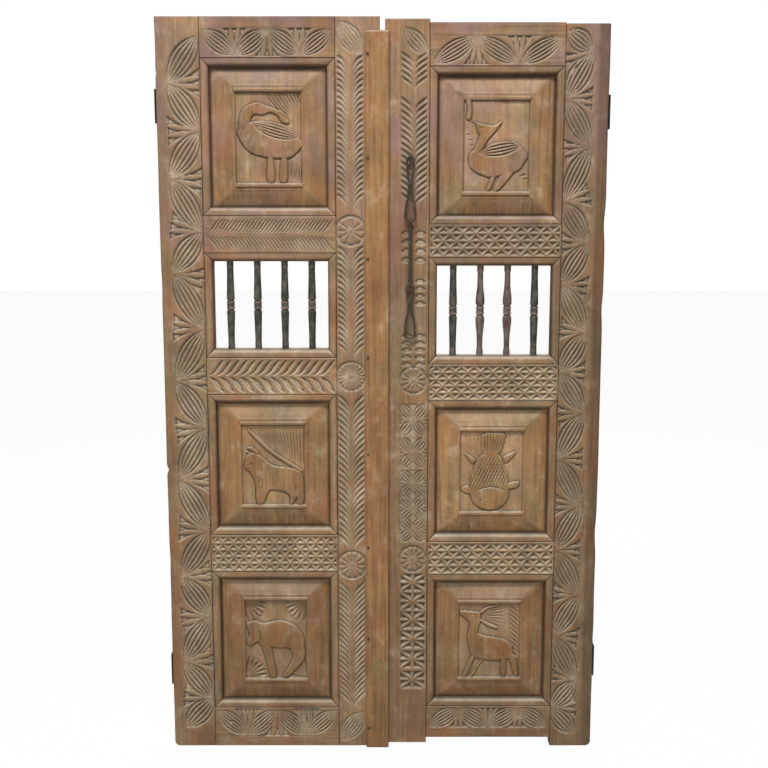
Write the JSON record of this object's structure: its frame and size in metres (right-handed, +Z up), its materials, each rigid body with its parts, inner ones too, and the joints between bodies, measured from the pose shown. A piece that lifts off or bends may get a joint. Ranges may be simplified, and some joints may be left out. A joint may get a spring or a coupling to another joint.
{
  "type": "carved double door",
  "caption": "Pair of carved frame-and-panel door leaves with animal panels, spindle grilles, a cover strip and a hanging iron chain.",
  "frame": {"origin": "the floor under the middle of the closed pair, at the foot of the left leaf", "axes": "+Z up, +Y from the carved face to the back, +X to the right seen from the carved face"},
  "size_m": [1.213, 0.0748, 2.038],
  "materials": {
    "frame_wood": "aged, carved",
    "panel_wood": "aged, worn smooth",
    "strip_wood": "aged, planed",
    "painted_wood": "worn dark paint",
    "wrought_iron": "forged, worn"
  },
  "bodies": {
    "door_frame_side": {"left_lower_hinge_pin": "wrought_iron", "left_lower_jamb_flap": "wrought_iron", "left_upper_hinge_pin": "wrought_iron", "left_upper_jamb_flap": "wrought_iron", "right_lower_hinge_pin": "wrought_iron", "right_lower_jamb_flap": "wrought_iron", "right_upper_hinge_pin": "wrought_iron", "right_upper_jamb_flap": "wrought_iron"},
    "left_leaf": {"cover_strip": "strip_wood", "cover_strip_nails": "wrought_iron", "left_bottom_rail": "frame_wood", "left_frieze_rail": "frame_wood", "left_hinge_nails": "wrought_iron", "left_lock_rail": "frame_wood", "left_lower_leaf_flap": "wrought_iron", "left_lower_panel": "panel_wood", "left_meeting_stile": "frame_wood", "left_middle_panel": "panel_wood", "left_outer_stile": "frame_wood", "left_sill_rail": "frame_wood", "left_spindle_1": "painted_wood", "left_spindle_2": "painted_wood", "left_spindle_3": "painted_wood", "left_spindle_4": "painted_wood", "left_tenon_pegs": "frame_wood", "left_top_rail": "frame_wood", "left_upper_leaf_flap": "wrought_iron", "left_upper_panel": "panel_wood"},
    "right_leaf": {"chain_staple": "wrought_iron", "right_bottom_rail": "frame_wood", "right_frieze_rail": "frame_wood", "right_hinge_nails": "wrought_iron", "right_lock_rail": "frame_wood", "right_lower_leaf_flap": "wrought_iron", "right_lower_panel": "panel_wood", "right_meeting_stile": "frame_wood", "right_middle_panel": "panel_wood", "right_outer_stile": "frame_wood", "right_sill_rail": "frame_wood", "right_spindle_1": "painted_wood", "right_spindle_2": "painted_wood", "right_spindle_3": "painted_wood", "right_spindle_4": "painted_wood", "right_tenon_pegs": "frame_wood", "right_top_rail": "frame_wood", "right_upper_leaf_flap": "wrought_iron", "right_upper_panel": "panel_wood"},
    "chain_link_1": {"chain_link_1": "wrought_iron"},
    "chain_link_2": {"chain_link_2": "wrought_iron"},
    "chain_link_3": {"chain_link_3": "wrought_iron"}
  },
  "joints": [
    {"name": "right_leaf_swing", "type": "hinge", "parent": "door_frame_side", "child": "right_leaf", "pos_m": [0.601, 0.0319, 0.256], "axis": [0, 0, -1], "range_deg": [0, 100]},
    {"name": "left_leaf_swing", "type": "hinge", "parent": "door_frame_side", "child": "left_leaf", "pos_m": [-0.601, 0.0319, 0.23], "axis": [0, 0, 1], "range_deg": [0, 90]},
    {"name": "chain_link_1_swing", "type": "hinge", "parent": "right_leaf", "child": "chain_link_1", "pos_m": [0.074, -0.0276, 1.675], "axis": [-1, 0, 0], "range_deg": [0, 110]},
    {"name": "chain_link_2_swing", "type": "hinge", "parent": "chain_link_1", "child": "chain_link_2", "pos_m": [0.074, -0.0276, 1.504], "axis": [-1, 0, 0], "range_deg": [0, 35]},
    {"name": "chain_link_3_swing", "type": "hinge", "parent": "chain_link_2", "child": "chain_link_3", "pos_m": [0.074, -0.0276, 1.335], "axis": [-1, 0, 0], "range_deg": [0, 35]}
  ],
  "couplings": [
    {"joint": "left_leaf_swing", "follows": "right_leaf_swing", "ratio": 0.9}
  ]
}
